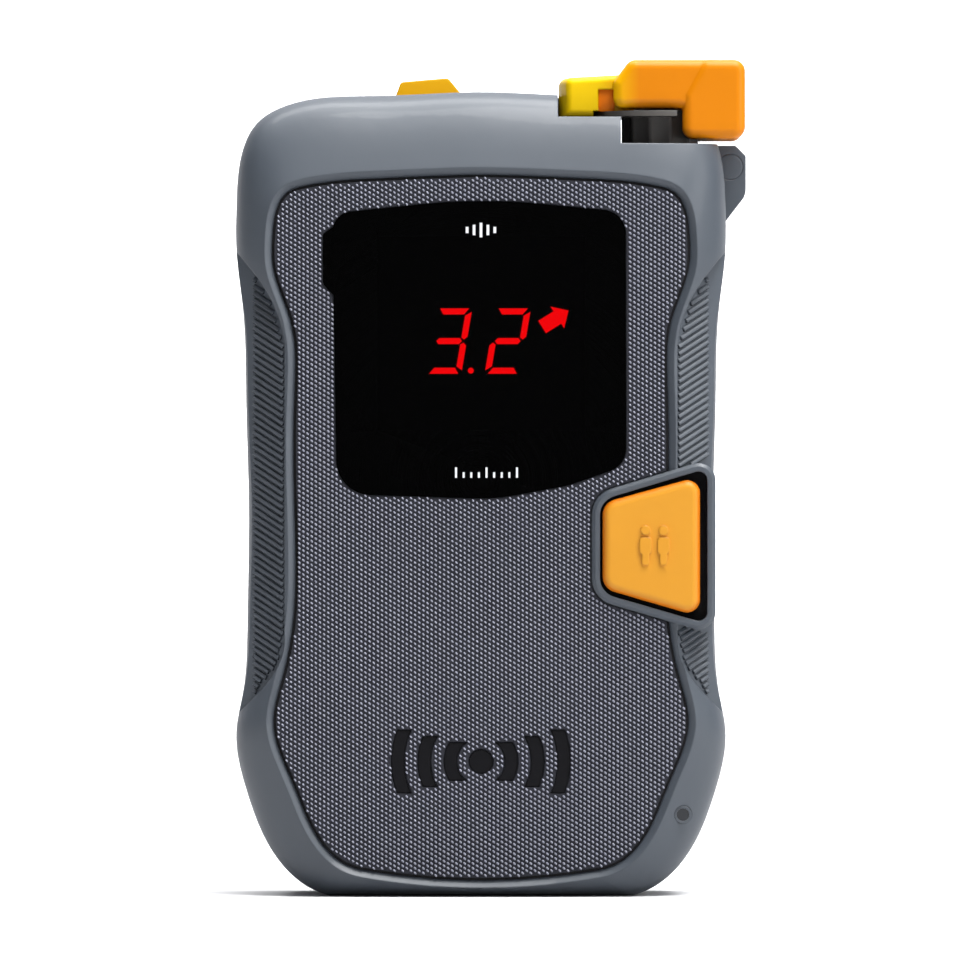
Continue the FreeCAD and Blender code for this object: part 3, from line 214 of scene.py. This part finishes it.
MATERIALS = {
    "shell_grey": surface("CaseGrey", SHELL, 0.45, bevel=0.35 * MM, coat=0.08, wear=0.1),
    # The panel plastic at 0.11 of the studs' colour, so the bed between the studs and along the
    # panel's edge reads dark: painted shade.
    "panel_grey": surface("PanelPaintedShade", tint(PANEL, 0.11), 0.6, bevel=0.1 * MM, specular=0.1),
    "lens_black": smoked_lens("SmokedLens"),
    "emblem_black": surface("EmblemBlack", (0.003, 0.003, 0.0045), 0.4, bevel=0.08 * MM,
                            specular=0.15),
    "mark_white": surface("MarkWhite", (0.75, 0.77, 0.80), 0.5, mottle=0.03),
    "light_red": glow("LitRed", (1.0, 0.001, 0.003), 100.0),
    "light_off": surface("UnlitRed", (0.006, 0.002, 0.002), 0.4),
    "module_black": surface("ModuleBlack", (0.002, 0.002, 0.002), 0.5, specular=0.1),
    # The key's faces that turn away from the front are painted a darker orange: painted shade.
    "key_orange": surface("KeyOrange", KEY, 0.42, bevel=0.3 * MM, wear=0.05, specular=0.25,
                          painted_rim_shade=(0.62, 0.16, 0.002)),
    "lever_orange": surface("LeverOrange", LEVER, 0.36, bevel=0.4 * MM, wear=0.08,
                            specular=0.2, warm=(LEVER_YELLOW, 17 * MM, 23 * MM)),
    "seal_black": surface("SealRubber", (0.012, 0.012, 0.014), 0.75, grain=5000.0,
                          specular=0.2),
    "collar_black": surface("CollarBlack", (0.085, 0.078, 0.072), 0.4, bevel=0.2 * MM),
    "steel": surface("Steel", (0.52, 0.53, 0.55), 0.3, metallic=1.0, bevel=0.1 * MM),
    "magnet_grey": surface("MagnetPlate", (0.6, 0.6, 0.62), 0.2, metallic=1.0),
    "brass_insert": surface("Brass", (0.68, 0.48, 0.19), 0.35, metallic=1.0),
    "contact_plate": surface("NickelPlate", (0.66, 0.65, 0.62), 0.28, metallic=1.0),
    "cell_wrap": surface("CellWrap", (0.02, 0.10, 0.055), 0.3, coat=0.5, bevel=0.3 * MM),
    "board_green": surface("BoardGreen", (0.008, 0.12, 0.045), 0.35, coat=0.4, grain=2500.0),
    "ferrite": surface("Ferrite", (0.05, 0.05, 0.055), 0.6, grain=4000.0, bump=0.4),
    "copper_wire": wound("CopperWinding", (0.62, 0.24, 0.09), 900.0),
    "light_clear": surface("LightGuide", (0.010, 0.012, 0.016), 0.3, coat=0.2),
    "ring_grey": surface("RingGrey", (0.080, 0.092, 0.108), 0.4, bevel=0.1 * MM),
}
DARK_STEEL = surface("DarkSteel", (0.10, 0.10, 0.11), 0.45, metallic=1.0, bevel=0.1 * MM)
LOCK_ORANGE = surface("LockOrange", (0.84, 0.42, 0.004), 0.36, bevel=0.4 * MM, wear=0.08,
                      specular=0.2)
slot_of = {row["node"]: row["material_slot"] for row in frame["record"]["subparts"]}


def paint(thing, material):
    """Gives a thing one material in place of any it had."""
    thing.data.materials.clear()
    thing.data.materials.append(material)


for node_name, node in frame["nodes"].items():
    paint(node, MATERIALS[slot_of[node_name]])
    for polygon in node.data.polygons:
        polygon.use_smooth = True
    node.data.set_sharp_from_angle(angle=math.radians(28))
paint(frame["nodes"]["lock_button"], LOCK_ORANGE)
for node_name in ("case_screws", "door_screw", "speaker_mesh"):
    paint(frame["nodes"][node_name], DARK_STEEL)


# ---- pieces by mesh code -----------------------------------------------------------------

def new_piece(name, vertices, faces, body, material):
    """A smooth-shaded mesh that rides a body."""
    mesh = bpy.data.meshes.new(name)
    mesh.from_pydata(vertices, [], faces)
    mesh.update()
    thing = bpy.data.objects.new(name, mesh)
    bpy.context.scene.collection.objects.link(thing)
    paint(thing, material)
    for polygon in mesh.polygons:
        polygon.use_smooth = True
    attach(thing, body)
    return thing


def tree_of(node_name):
    """A CAD node's mesh, ready for rays to be cast at it."""
    mesh = frame["nodes"][node_name].data
    return BVHTree.FromPolygons([v.co for v in mesh.vertices],
                                [p.vertices for p in mesh.polygons])


STUD_SIDES = 6
STUD_LONG_HALF, STUD_SHORT_HALF = 0.30 * MM, 0.175 * MM
STUD_TURN = math.radians(-48)
STUD_RINGS = ((1.0, -0.05), (0.62, 0.78))


def stud(centre, height):
    """The points of one small ridge that leans from upper left to lower right."""
    turned_x, turned_z = math.cos(STUD_TURN), math.sin(STUD_TURN)
    points = []
    for share, rise in STUD_RINGS:
        for corner in range(STUD_SIDES):
            angle = 2 * math.pi * corner / STUD_SIDES
            along = STUD_LONG_HALF * share * math.cos(angle)
            across = STUD_SHORT_HALF * share * math.sin(angle)
            points.append(centre + Vector((along * turned_x - across * turned_z,
                                           -height * rise,
                                           along * turned_z + across * turned_x)))
    points.append(centre + Vector((0, -height, 0)))
    return points


def stud_faces(first):
    """The faces of one ridge whose points start at the given number."""
    faces = [tuple(first + corner for corner in reversed(range(STUD_SIDES)))]
    for corner in range(STUD_SIDES):
        after = (corner + 1) % STUD_SIDES
        low, low_after = first + corner, first + after
        high, high_after = low + STUD_SIDES, low_after + STUD_SIDES
        faces.append((low, low_after, high_after, high))
        faces.append((high, high_after, first + 2 * STUD_SIDES))
    return faces


def embossed_field():
    """Small leaning ridges over the panel face, in a hexagonal lattice."""
    pitch = 0.69 * MM
    column_step = pitch * math.sqrt(3) / 2
    reach = 0.1 * MM
    face_y = panel_low.y
    surface_tree = tree_of("grip_panel")

    def on_face(x, z):
        hit = surface_tree.ray_cast(Vector((x, -1, z)), Vector((0, 1, 0)))[0]
        return hit is not None and abs(hit.y - face_y) < 0.02 * MM

    vertices, faces = [], []
    columns = int((panel_high.x - panel_low.x) / column_step) + 1
    rows = int((panel_high.z - panel_low.z) / pitch) + 1
    for column in range(columns):
        x = panel_low.x + column * column_step
        for row in range(rows):
            z = panel_low.z + (row + 0.5 * (column % 2)) * pitch
            ends = ((reach, -reach), (-reach, reach), (0, reach), (0, -reach))
            if all(on_face(x + dx, z + dz) for dx, dz in ends):
                faces += stud_faces(len(vertices))
                vertices += stud(Vector((x, face_y, z)), random.uniform(0.22, 0.27) * MM)
    # The studs take the panel's own colour; the panel under them is painted darker, as shade.
    material = surface("PanelStuds", PANEL, 0.26, bump=0.1, coat=0.6, mottle=0.12,
                       smudge=25.0)
    return new_piece("panel_studs", vertices, faces, "case", material)


embossed_field()

# The flank's ribs, in millimetres: x runs outward, z upward, and a profile's points are
# (across the rib, up from the floor). A floor point is (x, y) and a crease point (x, z).
RIB_PITCH = 1.01
RIB_SLOPE = math.tan(math.radians(33))
RIB_OUTER, RIB_INNER = 32.8, 28.45
RIB_TOP, RIB_REACH = 93.5, 69.0
RIB_STEPS = 12
CREASE_MARGIN = 0.25
FLOOR_OUTER, FLOOR_INNER = (37.0, -4.2), (28.4, -12.3)
HIGH_CREASE = [(28.4, 80.0), (29.9, 85.5), (33.2, 90.7), (37.0, 95.0)]
LOW_CREASE = [(28.4, 38.0), (29.3, 33.4), (33.2, 28.4), (37.0, 24.6)]
BEZEL_START = 16.0
BEZEL_TOP, BEZEL_TOP_SLOPE = 58.2, 0.298
BEZEL_LOW, BEZEL_LOW_SLOPE = 43.1, -0.287
BEZEL_MARGIN = 0.1
RIB_PROFILE = [(-0.31, -0.1), (-0.30, 0.24), (-0.22, 0.32), (0.22, 0.32), (0.30, 0.24),
               (0.31, -0.1)]
# The profile of a low strip under each rib, wider than the rib; it is painted near black to
# darken the grooves between the ribs: painted shade.
GROOVE_SHADE_PROFILE = [(-0.43, -0.1), (-0.43, 0.05), (0.43, 0.05), (0.43, -0.1)]


def between(x, points):
    """A height read off a crease given by (x, z) points in rising x."""
    for (x0, z0), (x1, z1) in zip(points, points[1:]):
        if x <= x1:
            break
    return z0 + (z1 - z0) * (x - x0) / (x1 - x0)


def rib_allowed(side, x, z):
    """True where a rib may lie: between the two creases and, on the right, off the bezel."""
    if z > between(x, HIGH_CREASE) - CREASE_MARGIN or z < between(x, LOW_CREASE) + CREASE_MARGIN:
        return False
    if side > 0:
        bezel_top = BEZEL_TOP + BEZEL_TOP_SLOPE * (x - BEZEL_START)
        bezel_low = BEZEL_LOW + BEZEL_LOW_SLOPE * (x - BEZEL_START)
        return z > bezel_top + BEZEL_MARGIN or z < bezel_low - BEZEL_MARGIN
    return True


def rib_stations(side, outer_z):
    """The centre points of one rib, from its outer end inward."""
    stations = []
    for step in range(RIB_STEPS + 1):
        x = RIB_OUTER + (RIB_INNER - RIB_OUTER) * step / RIB_STEPS
        z = outer_z - (RIB_OUTER - x) * RIB_SLOPE
        if rib_allowed(side, x, z):
            stations.append((x, z))
        elif stations:
            break
    return stations


def flank_strips(side, name, profile, material):
    """One profile swept along every rib on the slanted floor of a flank."""
    vertices, faces = [], []
    floor_rise = (FLOOR_OUTER[1] - FLOOR_INNER[1]) / (FLOOR_OUTER[0] - FLOOR_INNER[0])
    across = Vector((-RIB_SLOPE, 0, 1.0)).normalized()
    normal = Vector((floor_rise, -1.0, 0)).normalized()
    width = len(profile)
    for index in range(int(RIB_REACH / RIB_PITCH)):
        stations = rib_stations(side, RIB_TOP - index * RIB_PITCH)
        if len(stations) < 2:
            continue
        first = len(vertices)
        for x, z in stations:
            floor_y = FLOOR_INNER[1] + (x - FLOOR_INNER[0]) * floor_rise
            for sideways, rise in profile:
                point = Vector((x, floor_y, z)) + across * sideways + normal * rise
                vertices.append(Vector((point.x * side, point.y, point.z)) * MM)
        for ring in range(len(stations) - 1):
            start = first + ring * width
            for edge in range(width):
                after = (edge + 1) % width
                faces.append((start + edge, start + after, start + width + after,
                              start + width + edge))
        faces.append(tuple(range(first, first + width)))
        last = first + (len(stations) - 1) * width
        faces.append(tuple(reversed(range(last, last + width))))
    strips = new_piece(name, vertices, faces, "case", material)
    cleaned = bmesh.new()
    cleaned.from_mesh(strips.data)
    bmesh.ops.recalc_face_normals(cleaned, faces=cleaned.faces)
    cleaned.to_mesh(strips.data)
    cleaned.free()
    strips.data.set_sharp_from_angle(angle=math.radians(50))


# Near-black strips under the ribs stand in for the shade in the grooves between them: painted
# shade.
painted_groove_shade = surface("PaintedGrooveShade", (0.006, 0.006, 0.008), 0.7, specular=0.1)
for side, label in ((-1, "left"), (1, "right")):
    flank_strips(side, label + "_grip_ribs", RIB_PROFILE,
                 MATERIALS["shell_grey"])
    flank_strips(side, label + "_rib_groove_shade", GROOVE_SHADE_PROFILE, painted_groove_shade)


def lever_recess_shade():
    """A deeper orange face set in the recess at the root of the lever's tab, darker than the tab
    round it: painted shade in the recess.
    """
    left, right, low, high = 17.05, 19.4, 113.75, 116.95
    back, front, bevel = -5.45, -5.56, 0.12
    vertices = []
    for depth, inset in ((back, 0.0), (front + bevel / 2, 0.0), (front, bevel)):
        for x, z in ((left + inset, low + inset), (right - inset, low + inset),
                     (right - inset, high - inset), (left + inset, high - inset)):
            vertices.append(Vector((x, depth, z)) * MM)
    faces = [(3, 2, 1, 0), (8, 9, 10, 11)]
    for ring in (0, 4):
        for corner in range(4):
            after = (corner + 1) % 4
            faces.append((ring + corner, ring + after, ring + 4 + after, ring + 4 + corner))
    # Darker orange than the tab around it: painted shade.
    material = surface("LeverRecessShade", (0.74, 0.17, 0.0), 0.5, specular=0.2)
    return new_piece("lever_recess_shade", vertices, faces, "mode_switch", material)


lever_recess_shade()


# ---- studio ------------------------------------------------------------------------------

def pale_backdrop(name):
    """Matt and pale from its front, with a glow far out where the lights don't reach; clear
    from behind, so views from the back see past it. Only the camera sees it pale: it throws
    less light back at the object, as a dark cloth under the foot would."""
    shader = Shader(name)
    matt = shader.add("ShaderNodeBsdfDiffuse")
    clouds = shader.noise(4.0, 3.0)
    pale = shader.blend(clouds, (0.85, 0.85, 0.86), (0.87, 0.87, 0.88))
    by_camera = shader.add("ShaderNodeLightPath").outputs["Is Camera Ray"]
    shader.link(shader.blend(by_camera, (0.56, 0.56, 0.57), pale), matt.inputs["Color"])
    distance = shader.add("ShaderNodeVectorMath", operation="LENGTH")
    shader.link(shader.coordinates(), distance.inputs[0])
    far_out = shader.remap(distance.outputs["Value"], 0.35, 1.1, 0.0, 1.0)
    seen = shader.add("ShaderNodeMath", operation="MULTIPLY")
    shader.link(far_out, seen.inputs[0])
    shader.link(by_camera, seen.inputs[1])
    glowing = shader.add("ShaderNodeEmission")
    shader.link(seen.outputs[0], glowing.inputs["Strength"])
    lit = shader.add("ShaderNodeAddShader")
    shader.link(matt.outputs[0], lit.inputs[0])
    shader.link(glowing.outputs[0], lit.inputs[1])
    clear = shader.add("ShaderNodeBsdfTransparent")
    mix = shader.add("ShaderNodeMixShader")
    facing = shader.add("ShaderNodeNewGeometry")
    shader.link(facing.outputs["Backfacing"], mix.inputs[0])
    shader.link(lit.outputs[0], mix.inputs[1])
    shader.link(clear.outputs[0], mix.inputs[2])
    shader.link(mix.outputs[0], shader.output.inputs["Surface"])
    return shader.material


def studio():
    """A pale floor that curves up into a pale wall behind the object."""
    half, depth, rise, bend = 3.0, 0.5, 2.5, 0.35
    profile = [(-3.0, 0.0), (depth, 0.0)]
    for step in range(1, 13):
        angle = math.radians(90 * step / 12)
        profile.append((depth + bend * math.sin(angle), bend * (1 - math.cos(angle))))
    profile.append((depth + bend, rise))
    vertices = [(x, y, z) for y, z in profile for x in (-half, half)]
    faces = [(2 * i, 2 * i + 1, 2 * i + 3, 2 * i + 2) for i in range(len(profile) - 1)]
    mesh = bpy.data.meshes.new("Floor")
    mesh.from_pydata(vertices, [], faces)
    floor = bpy.data.objects.new("Floor", mesh)
    bpy.context.scene.collection.objects.link(floor)
    paint(floor, pale_backdrop("PaleFloor"))
    for polygon in mesh.polygons:
        polygon.use_smooth = True


def softbox(name, position, target, width, power):
    """A rectangular white lamp aimed at a point."""
    light = bpy.data.lights.new(name, "AREA")
    light.shape = "RECTANGLE"
    light.size, light.size_y = width
    light.energy = power
    lamp = bpy.data.objects.new(name, light)
    bpy.context.scene.collection.objects.link(lamp)
    lamp.location = position
    lamp.rotation_euler = (Vector(target) - Vector(position)).to_track_quat("-Z", "Y").to_euler()


def world_light():
    """A dim cool fill from all round, which the camera sees as plain white."""
    world = bpy.data.worlds.new("World")
    bpy.context.scene.world = world
    world.use_nodes = True
    nodes, links = world.node_tree.nodes, world.node_tree.links
    fill = nodes["Background"]
    fill.inputs["Color"].default_value = (0.9, 0.93, 1.0, 1)
    fill.inputs["Strength"].default_value = 0.10
    white = nodes.new("ShaderNodeBackground")
    white.inputs["Color"].default_value = (1, 1, 1, 1)
    rays = nodes.new("ShaderNodeLightPath")
    mix = nodes.new("ShaderNodeMixShader")
    links.new(rays.outputs["Is Camera Ray"], mix.inputs[0])
    links.new(fill.outputs[0], mix.inputs[1])
    links.new(white.outputs[0], mix.inputs[2])
    links.new(mix.outputs[0], nodes["World Output"].inputs["Surface"])


def camera():
    """Straight on, with a long lens, the case filling the height as seen from the front."""
    height = shell_high.z - shell_low.z
    data = bpy.data.cameras.new("Camera")
    data.lens = 400
    picture = height * 1.189
    distance = picture * data.lens / data.sensor_width
    view = bpy.data.objects.new("Camera", data)
    bpy.context.scene.collection.objects.link(view)
    view.location = (-0.14 * MM, shell_low.y - distance, height * 0.517)
    view.rotation_euler = (math.radians(90), 0, 0)
    bpy.context.scene.camera = view


studio()
middle = (0, 0, 0.06)
softbox("TopLight", (0.20, -0.25, 0.75), middle, (0.45, 0.45), 9.4)
softbox("RightLight", (0.80, -0.40, 0.25), middle, (0.4, 0.7), 3.5)
softbox("FrontFill", (0.15, -1.1, 0.35), middle, (0.8, 0.8), 1.0)
softbox("WallLight", (0.0, 0.2, 1.4), (0, 0.85, 0.2), (1.5, 0.5), 30.0)
world_light()
bpy.context.scene.view_settings.view_transform = "Standard"
camera()
